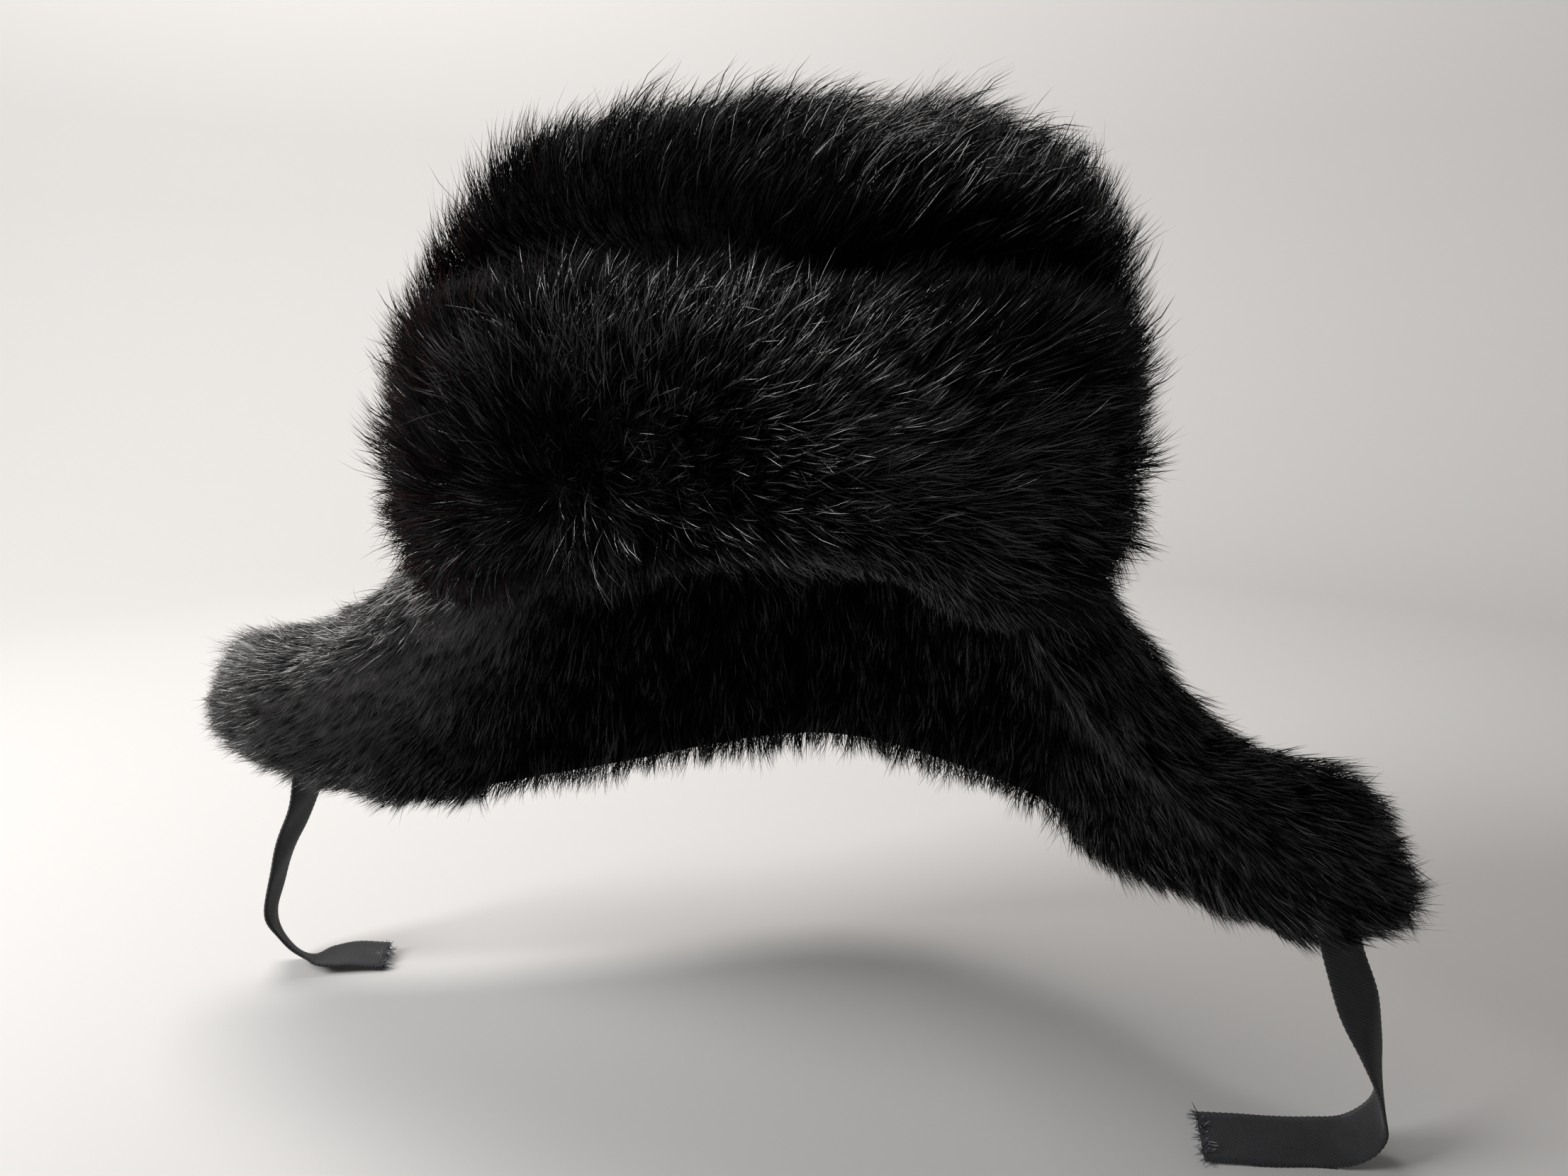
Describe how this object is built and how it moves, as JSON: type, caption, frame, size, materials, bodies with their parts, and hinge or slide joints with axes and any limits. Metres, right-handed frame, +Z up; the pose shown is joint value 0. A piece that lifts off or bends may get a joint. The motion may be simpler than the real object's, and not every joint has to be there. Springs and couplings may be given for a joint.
{
  "type": "ushanka hat",
  "caption": "All-fur winter hat with a padded crown, a turned-up front flap, splayed ear flaps joined by a nape flap, and tape ties at the flap tips.",
  "frame": {"origin": "middle of the head opening, level with the forehead rim, where a head holds the hat", "axes": "+Z up the head, -Y the way the wearer looks, +X the wearer's left"},
  "size_m": [0.5044, 0.2941, 0.3787],
  "materials": {
    "lining": "plain dark woven lining over padding",
    "fur": "deep dyed rabbit fur with glossy guard hairs",
    "hide": "dyed hide, matte",
    "tape": "woven cotton tape with a twill weave"
  },
  "bodies": {
    "root": {"crown_wall": "lining", "crown_fur": "fur", "front_flap": "hide", "front_flap_fur": "fur", "right_ear_flap": "hide", "right_ear_flap_fur": "fur", "left_ear_flap": "hide", "left_ear_flap_fur": "fur", "nape_flap": "hide", "nape_flap_fur": "fur", "right_tie": "tape", "left_tie": "tape"}
  },
  "joints": []
}
